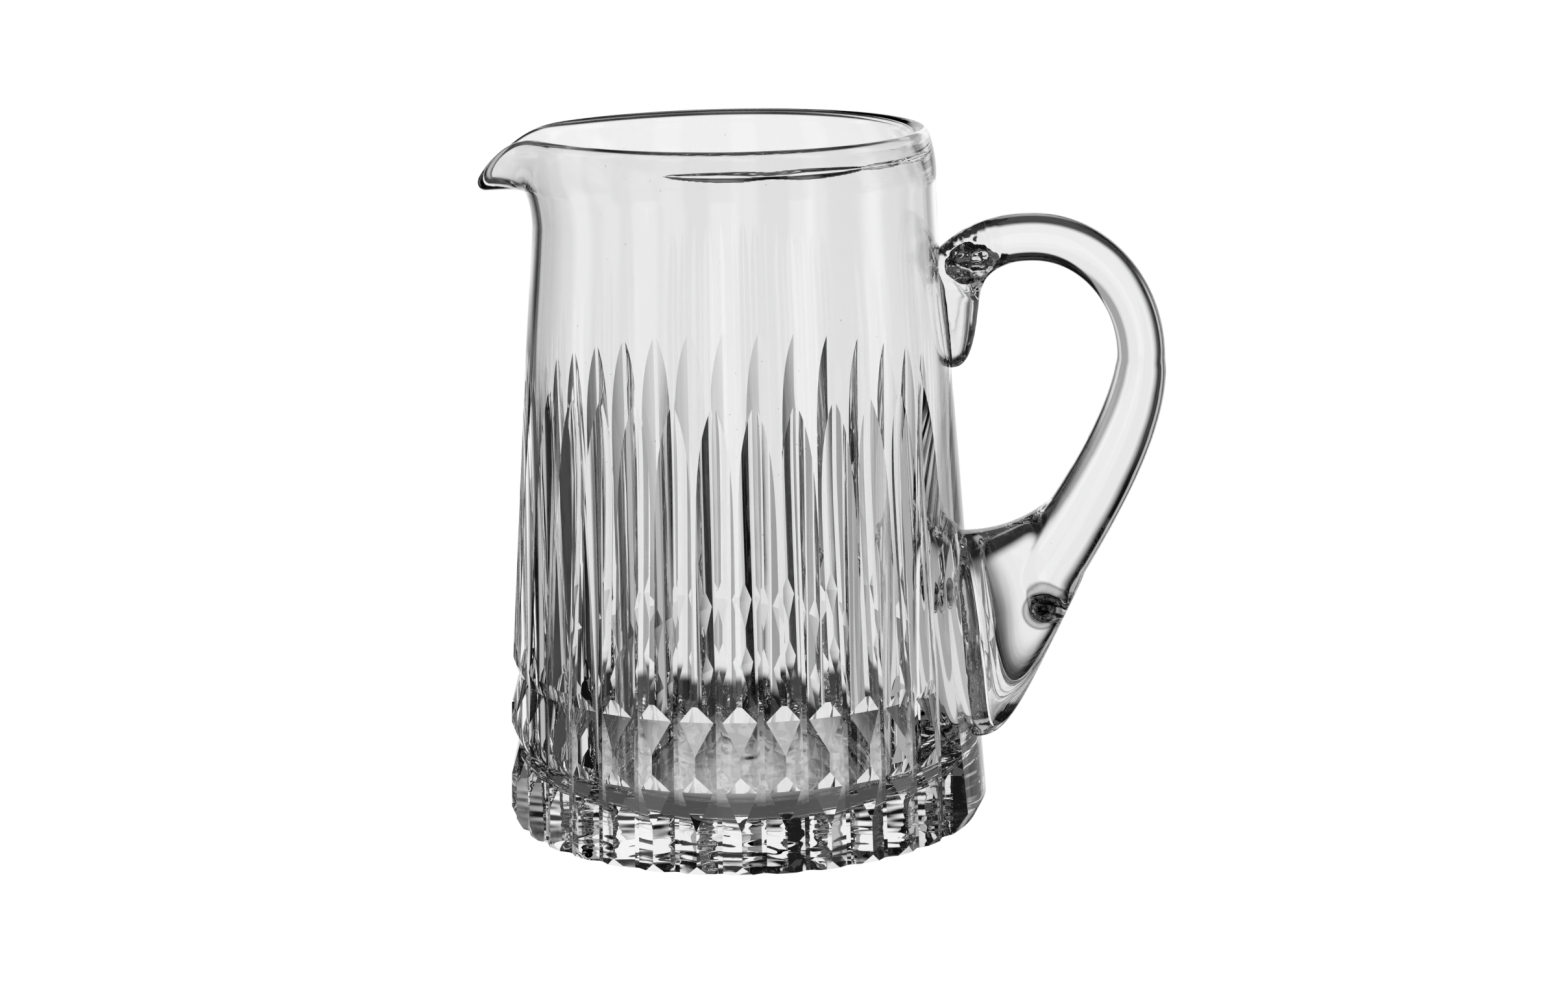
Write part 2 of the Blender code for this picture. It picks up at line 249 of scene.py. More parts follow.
def loft(mesh, rings):
    """Closed skin over rings of points, with a flat cap at each end."""
    loops = [[mesh.verts.new(point) for point in ring] for ring in rings]
    for here, after in zip(loops, loops[1:]):
        for i in range(len(here)):
            j = (i + 1) % len(here)
            mesh.faces.new((here[i], here[j], after[j], after[i]))
    mesh.faces.new(reversed(loops[0]))
    mesh.faces.new(loops[-1])


def turned_mesh(name, columns, bottom, top):
    """Closed mesh from columns of points round the Z axis, closed on the axis at two heights."""
    mesh = bmesh.new()
    first = mesh.verts.new((0.0, 0.0, bottom))
    last = mesh.verts.new((0.0, 0.0, top))
    loops = [[mesh.verts.new(point) for point in points] for points in columns]
    for here, after in zip(loops, loops[1:] + loops[:1]):
        mesh.faces.new((first, after[0], here[0]))
        for i in range(len(here) - 1):
            mesh.faces.new((here[i], after[i], after[i + 1], here[i + 1]))
        mesh.faces.new((here[-1], after[-1], last))
    return finish_mesh(name, mesh)


def apply_modifiers(item):
    """Keeps the mesh that the object's modifiers make, and drops the modifiers."""
    graph = bpy.context.evaluated_depsgraph_get()
    data = bpy.data.meshes.new_from_object(item.evaluated_get(graph))
    item.modifiers.clear()
    item.data = data


def boolean(item, other, operation):
    """Applies a Boolean with another object, which is used up."""
    modifier = item.modifiers.new(other.name, "BOOLEAN")
    modifier.operation = operation
    modifier.object = other
    modifier.solver = "MANIFOLD"
    apply_modifiers(item)
    bpy.data.objects.remove(other, do_unlink=True)


# Wall of the body


def wall_radius(height):
    """Outer radius of the uncut wall: a straight taper, a drawn-in neck, and a rim that curls in."""
    neck = HEIGHT - NECK_DROP
    collar = HEIGHT - COLLAR_DROP
    if height <= neck:
        return mix(FOOT_RADIUS, NECK_RADIUS, height / neck)
    if height <= collar:
        share = (height - neck) / (collar - neck)
        run_on = NECK_RADIUS + (NECK_RADIUS - FOOT_RADIUS) / neck * (collar - neck) / 3.0
        return bezier([NECK_RADIUS, run_on, COLLAR_RADIUS, COLLAR_RADIUS], share)
    curl = (height - collar) / COLLAR_DROP
    return mix(COLLAR_RADIUS, MOUTH_RADIUS, curl * curl)


def cavity_radius(height):
    """Inner radius: a straight bore that gives way to an even wall."""
    gap = CAVITY_RADIUS - (wall_radius(height) - WALL)
    return CAVITY_RADIUS - 0.5 * (gap + math.hypot(gap, CAVITY_BLEND))


def wall_thickness(height):
    """Even in the neck, growing to the fire-polished bead of the rim."""
    even = wall_radius(height) - cavity_radius(height)
    bead = max(0.0, (height - HEIGHT + COLLAR_DROP) / COLLAR_DROP)
    return mix(even, RIM_THICKNESS, min(bead, 1.0))


def spout_weight(angle, width):
    """How far the rim is pulled at an angle: 1 in the middle of the lip, fading out along the rim."""
    across = abs(abs(angle) - math.pi) * MOUTH_RADIUS
    return math.exp(-((2.0 * across / width) ** 2))


def upper_wall(angle, share):
    """Middle of the wall from the root of the lip to the rim's bead, bent out where the lip is pulled."""
    ease = 1.5
    rise_share = 0.95
    bend_share = 0.12
    root = HEIGHT - SPOUT_ROOT_DROP
    height = mix(root, HEIGHT - RIM_ROUND, share)
    swell = SPOUT_SWELL * spout_weight(angle, SPOUT_SWELL_WIDTH) * share**ease
    plain = wall_radius(height) - wall_thickness(height) / 2.0 + swell
    foot = Vector((wall_radius(root) - wall_thickness(root) / 2.0, root))
    tip = Vector((COLLAR_RADIUS + SPOUT_REACH, HEIGHT - SPOUT_FALL))
    knee = Vector((foot.x, tip.y))
    rise = mix(foot, knee, rise_share)
    bend = mix(knee, tip, bend_share)
    pulled = bezier([foot, rise, bend, tip], share)
    weight = spout_weight(angle, SPOUT_WIDTH)
    return polar(angle, mix(plain, pulled.x, weight), mix(height, pulled.y, weight**ease))


def fold(angle, height):
    """Extra thickness inside the wall at the folds: round ridges, each of two swells side by side."""
    extra = 0.0
    for start, end, rise, width in FOLDS:
        share = (angle - start) / (end - start)
        if 0.0 < share < 1.0:
            ends = math.sqrt(math.sin(math.pi * share))
            pinch = 1.0 - FOLD_PINCH * math.exp(-(((share - 0.5) / FOLD_PINCH_SHARE) ** 2))
            half = width / 2.0 * ends * pinch
            off_middle = min(abs(height - HEIGHT + FOLD_DROP) / half, 1.0)
            extra = max(extra, rise * ends * math.cos(math.pi / 2.0 * off_middle) ** 2)
    return extra


def column_angles():
    """Evenly spread columns, none of them on the middle of a flute or on a ridge."""
    return [-math.pi + 2.0 * math.pi * (i + 0.5) / COLUMNS for i in range(COLUMNS)]


def upper_columns(angles):
    """Outside, rounded rim and inside of the wall above the root of the lip, for each angle."""
    below_fold = 1.5 * FOLD_DROP
    root = HEIGHT - SPOUT_ROOT_DROP
    fold_foot = 1.0 - below_fold / SPOUT_ROOT_DROP
    shares = [fold_foot * share for share in steps(LIP_ROWS)]
    shares += [mix(fold_foot, 1.0, share) for share in steps(FOLD_ROWS)[1:]]
    rows = len(shares) - 1
    middle = [[upper_wall(angle, share) for share in shares] for angle in angles]
    columns = []
    for i, line in enumerate(middle):
        before = middle[i - 1]
        after = middle[(i + 1) % len(middle)]
        outside = []
        inside = []
        for j, point in enumerate(line):
            around = after[j] - before[j]
            along = line[min(j + 1, rows)] - line[max(j - 1, 0)]
            normal = around.cross(along).normalized()
            height = mix(root, HEIGHT, shares[j])
            half = wall_thickness(height) / 2.0
            outside.append(point + normal * half)
            inside.append(point - normal * (half + fold(angles[i], height)))
        columns.append(outside + rim_bead(line[-1], normal, along.normalized()) + inside[::-1])
    return columns


def rim_bead(centre, outward, along):
    """Flat polished top of the rim with round edges, from its outer side over to its inner side."""
    squareness = 0.9
    half = RIM_THICKNESS / 2.0
    points = []
    for share in steps(RIM_SIDES)[1:-1]:
        turn = math.pi * share
        across = squared(math.cos(turn), squareness)
        rise = squared(math.sin(turn), squareness)
        points.append(centre + outward * half * across + along * RIM_ROUND * rise)
    return points


def base_wave(point):
    """Slight waviness of the thick base, which leaves the rim that it stands on flat."""
    flattening = 4
    away = math.hypot(point.x, point.y) / BASE_WAVE_REACH
    wave = 1.0 + noise.noise(point / BASE_WAVE_SIZE)
    return BASE_WAVE * wave * max(0.0, 1.0 - away**flattening)


def base_rows(angle, radius, height):
    """Row of points on the base's underside or on the cavity's floor, from near the axis outwards."""
    points = [polar(angle, radius * share, height) for share in steps(BASE_ROWS)[1:-1]]
    return [point + Vector((0.0, 0.0, base_wave(point))) for point in points]


def lower_outside(angle):
    """Outside of the uncut wall from the base to the root of the lip."""
    foot = wall_radius(0.0) - FOOT_CHAMFER_WIDTH
    points = base_rows(angle, foot, 0.0) + [polar(angle, foot, 0.0)]
    neck = HEIGHT - NECK_DROP
    root = HEIGHT - SPOUT_ROOT_DROP
    rows = [mix(FOOT_CHAMFER_HEIGHT, neck, share) for share in steps(WALL_ROWS)]
    rows += [mix(neck, root, share) for share in steps(NECK_ROWS)[1:-1]]
    return points + [polar(angle, wall_radius(row), row) for row in rows]


def lower_inside(angle):
    """Inside from the root of the lip down the bore and round the corner to the cavity's floor."""
    corner = BASE_THICKNESS + CAVITY_CORNER
    rows = [mix(HEIGHT - SPOUT_ROOT_DROP, corner, share) for share in steps(BORE_ROWS)[1:]]
    points = [polar(angle, cavity_radius(row), row) for row in rows]
    centre = cavity_radius(corner) - CAVITY_CORNER
    for share in steps(CORNER_ROWS)[1:]:
        turn = math.pi / 2.0 * share
        height = corner - CAVITY_CORNER * math.sin(turn)
        points.append(polar(angle, centre + CAVITY_CORNER * math.cos(turn), height))
    return points + base_rows(angle, centre, BASE_THICKNESS)[::-1]


# Wheel cuts


def flute_floor(height):
    """Radius of the bottom line of a flute, which runs out of the wall at its pointed top."""
    if height <= FLUTE_FULL_HEIGHT:
        return wall_radius(height) - mix(FLUTE_FOOT_DEPTH, FLUTE_DEPTH, height / FLUTE_FULL_HEIGHT)
    rise = (height - FLUTE_FULL_HEIGHT) / (FLUTE_TIP_HEIGHT - FLUTE_FULL_HEIGHT)
    return wall_radius(height) - FLUTE_DEPTH * (1.0 - rise**FLUTE_RUN_OUT)


def flute_angles():
    """Middles of the flutes: all divisions but the plain ones under the handle."""
    first = PLAIN_DIVISIONS / 2.0 + 0.5
    return [PITCH * (first + i) for i in range(DIVISIONS - PLAIN_DIVISIONS)]


def flute_section(angle, height):
    """Section of the wheel at a height: a narrow flat floor, two facets, and straight sides outside."""
    reach_share = 0.95
    floor = flute_floor(height)
    half = FLUTE_FLOOR_WIDTH / 2.0
    widest = reach_share * FOOT_RADIUS * math.sin(PITCH)
    rise = (widest - half) * math.tan(FLUTE_SLOPE)
    outside = floor + max(rise, FLUTE_FOOT_DEPTH) + CUT_MARGIN
    flat = [(floor, half), (floor + rise, widest), (outside, widest)]
    section = flat + [(x, -y) for x, y in reversed(flat)]
    out = polar(angle, 1.0, 0.0)
    side = Vector((-out.y, out.x, 0.0))
    return [out * x + side * y + Vector((0.0, 0.0, height)) for x, y in section]


def flute_cutter(name, angles):
    """A set of flutes as one cutter, with rows that lie closer towards their pointed tops."""
    closer = 0.7
    rows = [-CUT_MARGIN]
    rows += [mix(FLUTE_FULL_HEIGHT, FLUTE_TIP_HEIGHT, share**closer) for share in steps(FLUTE_ROWS)]
    rows.append(FLUTE_TIP_HEIGHT + CUT_MARGIN)
    mesh = bmesh.new()
    for angle in angles:
        loft(mesh, [flute_section(angle, row) for row in rows])
    return finish_mesh(name, mesh)


def ridge_radius(height):
    """Radius of the sharp ridge between two flutes, or of the wall where it is still uncut."""
    slope = math.tan(FLUTE_SLOPE)
    spread = math.tan(PITCH / 2.0)
    reach = flute_floor(height) - FLUTE_FLOOR_WIDTH / 2.0 * slope
    ridge = reach / (1.0 - spread * slope) / math.cos(PITCH / 2.0)
    return min(ridge, wall_radius(height))


def ring_cutter(name, ring):
    """V cut from one border flute round to the other, straight across each ridge."""
    height, rise, fall = ring
    bottom = (ridge_radius(height) - RING_DEPTH) / math.cos(PITCH / 2.0)
    run_on = (RING_DEPTH + CUT_MARGIN) / RING_DEPTH
    outside = bottom + RING_DEPTH * run_on
    section = [(bottom, height), (outside, height - fall * run_on), (outside, height + rise * run_on)]
    mesh = bmesh.new()
    loft(mesh, [[polar(angle, x, z) for x, z in section] for angle in flute_angles()])
    return finish_mesh(name, mesh)


def make_body():
    """Blown body with its lip, cut by the two rings and then by the flutes."""
    angles = column_angles()
    columns = []
    for angle, upper in zip(angles, upper_columns(angles)):
        columns.append(lower_outside(angle) + upper + lower_inside(angle))
    body = turned_mesh("crystal_body", columns, 0.0, BASE_THICKNESS)
    boolean(body, ring_cutter("upper_ring", UPPER_RING), "DIFFERENCE")
    boolean(body, ring_cutter("lower_ring", LOWER_RING), "DIFFERENCE")
    flutes = flute_angles()
    boolean(body, flute_cutter("flutes_even", flutes[0::2]), "DIFFERENCE")
    boolean(body, flute_cutter("flutes_odd", flutes[1::2]), "DIFFERENCE")
    return body


# Loop handle


def off_wall(height, standoff):
    """Point in the handle's plane, given by its height and its distance from the wall."""
    return Vector((wall_radius(height) + standoff, 0.0, height))


def handle_path():
    """Middle line of the rod, from the upper seat over the crest and the bend to the lower root."""
    seat = off_wall(HEIGHT - SEAT_DROP, -WALL / 2.0)
    crest = off_wall(HEIGHT - CREST_DROP, CREST_STANDOFF)
    bend = off_wall(HEIGHT - BEND_DROP, BEND_STANDOFF)
    root = off_wall(ROOT_HEIGHT, ROOT_STANDOFF)
    quarter_round = 0.552
    rise_share = 0.45
    rise_start = 0.5
    drop_share = 0.30
    slant_share = 0.42
    rise = Vector((mix(seat.x, crest.x, rise_share), 0.0, crest.z))
    top_corner = Vector((bend.x, 0.0, crest.z))
    lower_corner = Vector((bend.x, 0.0, mix(bend.z, root.z, drop_share)))
    slant = mix(root, lower_corner, slant_share)
    spans = [
        [seat, mix(seat, rise, rise_start), rise, crest],
        [crest, mix(crest, top_corner, quarter_round), mix(bend, top_corner, quarter_round), bend],
        [bend, lower_corner, slant, root],
    ]
    path = [seat]
    for span in spans:
        path += [bezier(span, share) for share in steps(HANDLE_SAMPLES)[1:]]
    return path


def squared(value, squareness):
    """Sine or cosine bent towards that of a rounded square."""
    return math.copysign(abs(value) ** squareness, value)


def oval(centre, half_height, half_width, squareness=1.0):
    """Ring of points about a centre: one half axis lies in the handle's plane, the other across it."""
    ring = []
    for i in range(HANDLE_SIDES):
        turn = 2.0 * math.pi * i / HANDLE_SIDES
        along = half_height * squared(math.cos(turn), squareness)
        across = Vector((0.0, half_width * squared(math.sin(turn), squareness), 0.0))
        ring.append(centre + along + across)
    return ring


def rod_rings():
    """Round rod of the loop, thicker towards the lower root and rounded off there."""
    swell_curve = 0.7
    path = handle_path()
    thin = HANDLE_THICKNESS / 2.0
    thick = HANDLE_ROOT_THICKNESS / 2.0
    rings = []
    for i, point in enumerate(path):
        before = path[max(i - 1, 0)]
        after = path[min(i + 1, len(path) - 1)]
        along = (after - before).normalized()
        normal = Vector((-along.z, 0.0, along.x))
        past_bend = max(0.0, i / HANDLE_SAMPLES - 2.0)
        radius = mix(thin, thick, past_bend**swell_curve)
        rings.append(oval(point, normal * radius, radius, ROD_SQUARENESS))
    for share in steps(HANDLE_END_ROWS)[1:-1]:
        turn = math.pi / 2.0 * share
        radius = thick * math.cos(turn)
        centre = path[-1] + along * thick * math.sin(turn)
        rings.append(oval(centre, normal * radius, radius, ROD_SQUARENESS))
    return rings


def pad_rings():
    """Flattened fan that carries the lower root, widest where it is pressed on the wall."""
    sunk = -WALL
    crotch_share = 0.58
    toe_share = 0.06
    flare = 2
    top = off_wall(PAD_TOP_HEIGHT, sunk)
    top_end = off_wall(PAD_TOP_HEIGHT + PAD_TOP_RISE, PAD_TOP_REACH)
    crotch = Vector((mix(top.x, top_end.x, crotch_share), 0.0, top.z))
    foot = off_wall(PAD_FOOT_HEIGHT, sunk)
    foot_end = off_wall(ROOT_HEIGHT, PAD_FOOT_REACH)
    corner = off_wall(PAD_FOOT_HEIGHT, PAD_FOOT_STANDOFF)
    toe = mix(corner, foot_end, toe_share)
    rings = []
    for share in steps(HANDLE_SAMPLES):
        upper = bezier([top, crotch, top_end], share)
        lower = bezier([foot, corner, toe, foot_end], share)
        half_width = mix(WEB_WIDTH, PAD_WIDTH, (1.0 - share) ** flare) / 2.0
        rings.append(oval((upper + lower) / 2.0, (upper - lower) / 2.0, half_width, PAD_SQUARENESS))
    return rings


def tongue_rings():
    """End of the rod, pressed down the wall below the upper seat and thinning to a round tip."""
    rod_share = 0.85
    tip_curve = 0.35
    flare_curve = 10
    draw_in = 4
    closer_to_tip = 2.0
    tip = HEIGHT - TONGUE_TIP_DROP
    crook = HEIGHT - CREST_DROP - HANDLE_THICKNESS / 2.0
    inside_rod = rod_share * HANDLE_THICKNESS
    rings = []
    for step in steps(2 * HANDLE_SAMPLES)[1:]:
        share = step**closer_to_tip
        height = mix(tip, crook, share)
        fullness = share**tip_curve
        flare = CROOK_FLARE * share**flare_curve
        depth = WALL / 2.0 + TONGUE_THICKNESS * fullness + flare
        half_width = mix(TONGUE_WIDTH, inside_rod, share**draw_in) / 2.0 * fullness
        centre = off_wall(height, -WALL / 2.0)
        rings.append(oval(centre, Vector((depth, 0.0, 0.0)), half_width))
    return rings


def wall_core():
    """The wall a little under its surface, which trims the ends of the handle."""
    rows = [HEIGHT * share for share in steps(CORE_ROWS)]
    columns = []
    for angle in column_angles():
        columns.append([polar(angle, wall_radius(row) - SEAT_SINK, row) for row in rows])
    return turned_mesh("wall_core", columns, 0.0, HEIGHT)


def air_pockets():
    """Air caught where the rod was pressed on the pad and on the wall."""
    mesh = bmesh.new()
    for place, half_lengths, tilt in AIR_POCKETS:
        matrix = Matrix.LocRotScale(place, Quaternion((0.0, 1.0, 0.0), tilt), half_lengths)
        bmesh.ops.create_uvsphere(mesh, u_segments=48, v_segments=24, radius=1.0, matrix=matrix)
    return finish_mesh("air_pockets", mesh)


def make_handle():
    """Rod, pad and tongue melted into one piece of hot glass."""
    mesh = bmesh.new()
    loft(mesh, rod_rings())
    loft(mesh, pad_rings())
    loft(mesh, tongue_rings())
    handle = finish_mesh("crystal_handle", mesh)
    melt = handle.modifiers.new("melt", "REMESH")
    melt.mode = "VOXEL"
    melt.voxel_size = HANDLE_VOXEL
    soften = handle.modifiers.new("soften", "SMOOTH")
    soften.factor = 0.5
    soften.iterations = HANDLE_SMOOTHING
    apply_modifiers(handle)
    boolean(handle, wall_core(), "DIFFERENCE")
    boolean(handle, air_pockets(), "DIFFERENCE")
    return handle


# Fusing the two pieces


def set_materials(item, materials, index):
    item.data.materials.clear()
    for material in materials:
        item.data.materials.append(material)
    for face in item.data.polygons:
        face.material_index = index


def keep_piece(item, index):
    """Keeps one piece of a fused mesh, and closes it where it was joined to the other piece."""
    mesh = bmesh.new()
    mesh.from_mesh(item.data)
    others = [face for face in mesh.faces if face.material_index != index]
    bmesh.ops.delete(mesh, geom=others, context="FACES")
    rims = [edge for edge in mesh.edges if edge.is_boundary]
    seams = bmesh.ops.holes_fill(mesh, edges=rims, sides=0)["faces"]
    for face in seams:
        face.material_index = SEAM
    bmesh.ops.triangulate(mesh, faces=seams)
    mesh.to_mesh(item.data)
    mesh.free()


def fuse(body, handle, materials):
    """Melts the handle to the body, so that no air is left between them, and parts them by material."""
    set_materials(body, materials, BODY)
    set_materials(handle, materials, HANDLE)
    boolean(body, handle, "UNION")
    loop = body.copy()
    loop.data = body.data.copy()
    loop.name = "crystal_handle"
    bpy.context.scene.collection.objects.link(loop)
    keep_piece(body, BODY)
    keep_piece(loop, HANDLE)
    return body, loop


def shade(item, sharp_angle):
    item.data.shade_smooth()
    item.data.set_sharp_from_angle(angle=sharp_angle)


# Shader nodes


def math_node(tree, operation, *values):
    """Result of a math node, from numbers or other nodes' results."""
    node = tree.nodes.new("ShaderNodeMath")
    node.operation = operation
    for socket, value in zip(node.inputs, values):
        if isinstance(value, float):
            socket.default_value = value
        else:
            tree.links.new(value, socket)
    return node.outputs["Value"]


def fade(tree, value, edge, level_before, level_after):
    """Smooth change from one level to another while a value runs across an edge."""
    node = tree.nodes.new("ShaderNodeMapRange")
    node.interpolation_type = "SMOOTHSTEP"
    tree.links.new(value, node.inputs["Value"])
    node.inputs["From Min"].default_value = edge[0]
    node.inputs["From Max"].default_value = edge[1]
    node.inputs["To Min"].default_value = level_before
    node.inputs["To Max"].default_value = level_after
    return node.outputs["Result"]


def noise_texture(tree, place, size, detail):
    """Result of a noise texture with features of a given size."""
    node = tree.nodes.new("ShaderNodeTexNoise")
    node.inputs["Scale"].default_value = 1.0 / size
    node.inputs["Detail"].default_value = detail
    tree.links.new(place, node.inputs["Vector"])
    return node.outputs["Fac"]


def distance_from(tree, place, point, plane):
    """Distance of the shaded place from a point, measured along the axes that are 1 in plane."""
    flat = tree.nodes.new("ShaderNodeVectorMath")
    flat.operation = "MULTIPLY"
    flat.inputs[1].default_value = plane
    tree.links.new(place, flat.inputs[0])
    distance = tree.nodes.new("ShaderNodeVectorMath")
    distance.operation = "DISTANCE"
    distance.inputs[1].default_value = point
    tree.links.new(flat.outputs["Vector"], distance.inputs[0])
    return distance.outputs["Value"]


def tinted(tree, colour, other, share):
    """Colour that gives way to another by a share."""
    tint = tree.nodes.new("ShaderNodeMix")
    tint.data_type = "RGBA"
    if isinstance(colour, tuple):
        tint.inputs["A"].default_value = colour
    else:
        tree.links.new(colour, tint.inputs["A"])
    tint.inputs["B"].default_value = other
    tree.links.new(share, tint.inputs["Factor"])
    return tint.outputs["Result"]


def node_material(name):
    """New material with its node tree and its shader."""
    material = bpy.data.materials.new(name)
    material.use_nodes = True
    return material, material.node_tree, material.node_tree.nodes["Principled BSDF"]


# Glass


def crystal(name, colour, ripple):
    """Clear crystal with a faint ripple, dulled patches and specks."""
    material, tree, shader = node_material(name)
    shader.inputs["Transmission Weight"].default_value = 1.0
    shader.inputs["IOR"].default_value = GLASS_INDEX
    place = tree.nodes.new("ShaderNodeTexCoord").outputs["Object"]

    size, height = ripple
    bump = tree.nodes.new("ShaderNodeBump")
    bump.inputs["Distance"].default_value = 1.0
    waves = math_node(tree, "MULTIPLY", noise_texture(tree, place, size, 1.0), height)
    tree.links.new(waves, bump.inputs["Height"])
    tree.links.new(bump.outputs["Normal"], shader.inputs["Normal"])

    dull = fade(tree, noise_texture(tree, place, DULL_SIZE, 4.0), DULL_EDGE, 0.0, DULL_ROUGHNESS)
    tree.links.new(dull, shader.inputs["Roughness"])

    specks = tree.nodes.new("ShaderNodeTexVoronoi")
    specks.inputs["Scale"].default_value = SPECK_COUNT
    tree.links.new(place, specks.inputs["Vector"])
    in_speck = fade(tree, specks.outputs["Distance"], SPECK_EDGE, 1.0, 0.0)
    tree.links.new(tinted(tree, colour, SPECK_COLOUR, in_speck), shader.inputs["Base Color"])
    return material


def seat_wrinkles(tree, place):
    """Height of the wrinkles where the handle's upper end was pressed on."""
    off_seat = distance_from(tree, place, WRINKLE_PLACE, (1.0, 1.0, 1.0))
    near_seat = fade(tree, off_seat, WRINKLE_EDGE, WRINKLE_HEIGHT, 0.0)
    return math_node(tree, "MULTIPLY", noise_texture(tree, place, WRINKLE_SIZE, 1.0), near_seat)


def root_swirl_shade(tree, place):
    """Share of painted shade in the round swirl where the handle's lower end was cut off and pressed in:
    the rings follow the swirl, and their dark stands in for the shade that refraction gives there.
    """
    off_swirl = distance_from(tree, place, SWIRL_PLACE, (1.0, 0.0, 1.0))
    turns = math_node(tree, "MULTIPLY", off_swirl, 2.0 * math.pi / SWIRL_PITCH)
    wave = math_node(tree, "COSINE", turns)
    rings = math_node(tree, "MULTIPLY_ADD", wave, -SWIRL_CONTRAST, SWIRL_SHADE_DARKNESS)
    return math_node(tree, "MULTIPLY", rings, fade(tree, off_swirl, SWIRL_EDGE, 1.0, 0.0))


def add_hot_work_and_shade(material):
    """Marks of the hot work on the handle: wrinkles at its upper seat, and a swirl at its root darkened
    with painted shade.
    """
    tree = material.node_tree
    shader = tree.nodes["Principled BSDF"]
    place = tree.nodes.new("ShaderNodeTexCoord").outputs["Object"]
    height = shader.inputs["Normal"].links[0].from_node.inputs["Height"]
    ripple = height.links[0].from_socket
    tree.links.new(math_node(tree, "ADD", ripple, seat_wrinkles(tree, place)), height)
    colour = shader.inputs["Base Color"].links[0].from_socket
    # The swirl is darkened with painted shade
    swirl = tinted(tree, colour, SWIRL_SHADE_COLOUR, root_swirl_shade(tree, place))
    tree.links.new(swirl, shader.inputs["Base Color"])
    return material


def seam_material():
    """Fused seam inside the glass, which light passes without bending."""
    material, _, shader = node_material("fused_seam")
    shader.inputs["Base Color"].default_value = WHITE
    shader.inputs["Roughness"].default_value = 0.0
    shader.inputs["Transmission Weight"].default_value = 1.0
    shader.inputs["IOR"].default_value = 1.0
    return material


# Studio


def soft_panel(tree, azimuth, panel):
    """Upright light panel with soft sides, given by its aim, its edges and its level."""
    aim, inner_edge, outer_edge, level = panel
    turn = math_node(tree, "SUBTRACT", azimuth, math.radians(aim))
    off_aim = math_node(tree, "ABSOLUTE", math_node(tree, "WRAP", turn, math.pi, -math.pi))
    return fade(tree, off_aim, (math.radians(inner_edge), math.radians(outer_edge)), level, 0.0)


def band(tree, height, edge, level_below, level_above):
    """Fade across an edge between two elevations, given in degrees."""
    sines = [math.sin(math.radians(elevation)) for elevation in edge]
    return fade(tree, height, sines, level_below, level_above)


def make_light():
    """Bright panels with dark gaps between them, which draw the dark lines that clear glass needs."""
    world = bpy.data.worlds.new("studio")
    world.use_nodes = True
    bpy.context.scene.world = world
    tree = world.node_tree
    direction = tree.nodes.new("ShaderNodeTexCoord").outputs["Generated"]
    parts = tree.nodes.new("ShaderNodeSeparateXYZ")
    tree.links.new(direction, parts.inputs["Vector"])
    azimuth = math_node(tree, "ARCTAN2", parts.outputs["Y"], parts.outputs["X"])
    height = parts.outputs["Z"]

    light = soft_panel(tree, azimuth, PANELS[0])
    for panel in PANELS[1:]:
        light = math_node(tree, "MAXIMUM", light, soft_panel(tree, azimuth, panel))
    light = math_node(tree, "MULTIPLY", light, band(tree, height, PANEL_TOP, 1.0, 0.0))
    light = math_node(tree, "MULTIPLY", light, band(tree, height, PANEL_FOOT, PANEL_FOOT_LEVEL, 1.0))
    light = math_node(tree, "MAXIMUM", light, band(tree, height, CEILING, DARK_LEVEL, CEILING_LEVEL))
    light = math_node(tree, "MAXIMUM", light, band(tree, height, TABLE, TABLE_LEVEL, DARK_LEVEL))
    background = tree.nodes["Background"]
    background.inputs["Color"].default_value = WHITE
    tree.links.new(light, background.inputs["Strength"])


def stage_material(name, level):
    """Flat even white that gives off light of a given level."""
    material, _, shader = node_material(name)
    shader.inputs["Base Color"].default_value = BLACK
    shader.inputs["Specular IOR Level"].default_value = 0.0
    shader.inputs["Emission Color"].default_value = WHITE
    shader.inputs["Emission Strength"].default_value = level
    return material


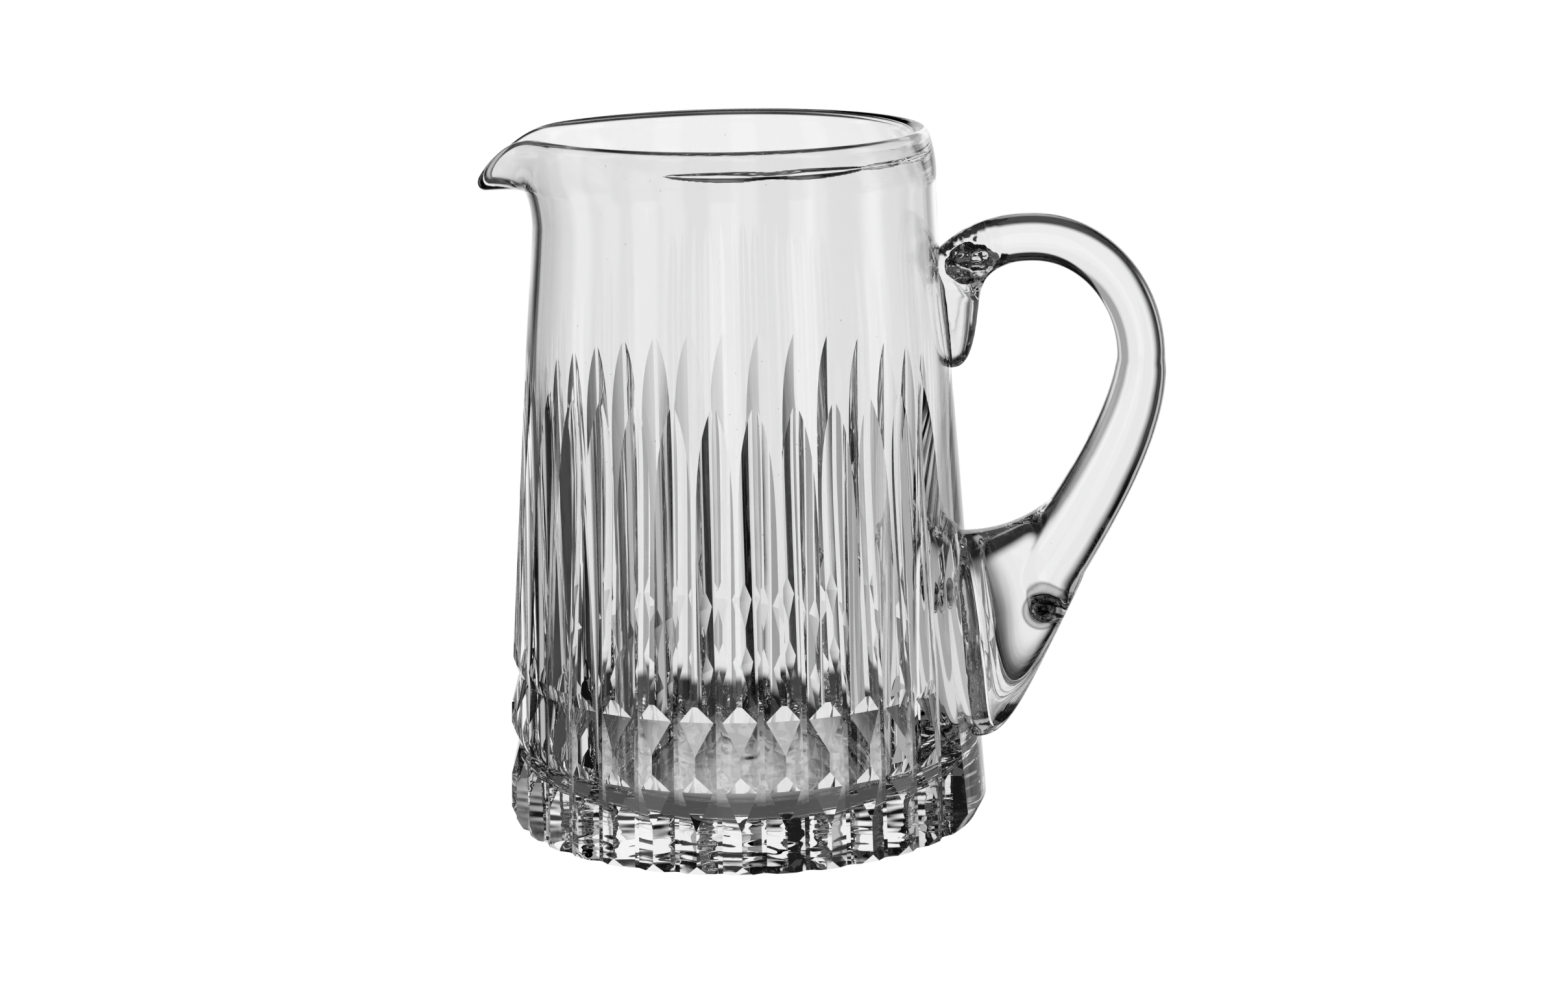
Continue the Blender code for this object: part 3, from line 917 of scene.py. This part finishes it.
def make_contact_shadow():
    """Painted contact shadow: a dim patch of floor under the base with a painted pool of light in its
    middle, which is seen through the glass only.
    """
    under_floor = -0.0004
    sides = 96
    mesh = bmesh.new()
    bmesh.ops.create_circle(mesh, cap_ends=True, segments=sides, radius=FOOT_RADIUS)
    patch = finish_mesh("contact_shadow", mesh)
    patch.location.z = under_floor
    material = stage_material("contact_shadow", SHADOW_LEVEL)
    tree = material.node_tree
    place = tree.nodes.new("ShaderNodeTexCoord").outputs["Object"]
    distance = distance_from(tree, place, Vector(), (1.0, 1.0, 1.0))
    level = fade(tree, distance, SHADOW_EDGE, SHADOW_LIGHT_POOL_LEVEL, SHADOW_LEVEL)
    tree.links.new(level, tree.nodes["Principled BSDF"].inputs["Emission Strength"])
    patch.data.materials.append(material)
    patch.visible_camera = False
    patch.visible_diffuse = False


def make_floor():
    """Plain white sweep, flat under the glass and curved up far behind it; the glass sees the panels."""
    reach = 4.0
    under_base = -0.0002
    sweep_curve = 24
    squares = 64
    mesh = bmesh.new()
    bmesh.ops.create_grid(mesh, x_segments=squares, y_segments=squares, size=reach)
    for corner in mesh.verts:
        away = min(corner.co.length / reach, 1.0)
        corner.co.z = under_base + reach * away**sweep_curve
    floor = finish_mesh("floor", mesh)
    floor.data.materials.append(stage_material("pale_floor", 1.0))
    floor.visible_transmission = False
    floor.visible_glossy = False


def make_camera():
    data = bpy.data.cameras.new("camera")
    data.sensor_fit = "HORIZONTAL"
    data.sensor_width = CAMERA_SENSOR
    data.lens = CAMERA_LENS
    data.clip_start = CAMERA_NEAR
    camera = bpy.data.objects.new("camera", data)
    camera.location = CAMERA_PLACE
    camera.rotation_mode = "QUATERNION"
    roll = Quaternion((0.0, 0.0, 1.0), CAMERA_ROLL)
    camera.rotation_quaternion = CAMERA_AIM.to_track_quat("-Z", "Y") @ roll
    bpy.context.scene.collection.objects.link(camera)
    bpy.context.scene.camera = camera


def make_studio():
    scene = bpy.context.scene
    scene.view_settings.view_transform = "Standard"
    scene.cycles.max_bounces = LIGHT_BOUNCES
    scene.cycles.transmission_bounces = LIGHT_BOUNCES
    scene.cycles.glossy_bounces = GLOSSY_BOUNCES
    make_floor()
    make_contact_shadow()
    make_light()
    make_camera()


make_studio()
materials = [
    crystal("body_crystal", BODY_COLOUR, BODY_RIPPLE),
    add_hot_work_and_shade(crystal("handle_crystal", HANDLE_COLOUR, HANDLE_RIPPLE)),
    seam_material(),
]
body, handle = fuse(make_body(), make_handle(), materials)
shade(body, BODY_SHARP_ANGLE)
shade(handle, HANDLE_SHARP_ANGLE)
for piece, node, slot in ((body, "glass_body", "body_crystal"), (handle, "loop_handle", "handle_crystal")):
    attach(piece, "root")
    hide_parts(node)
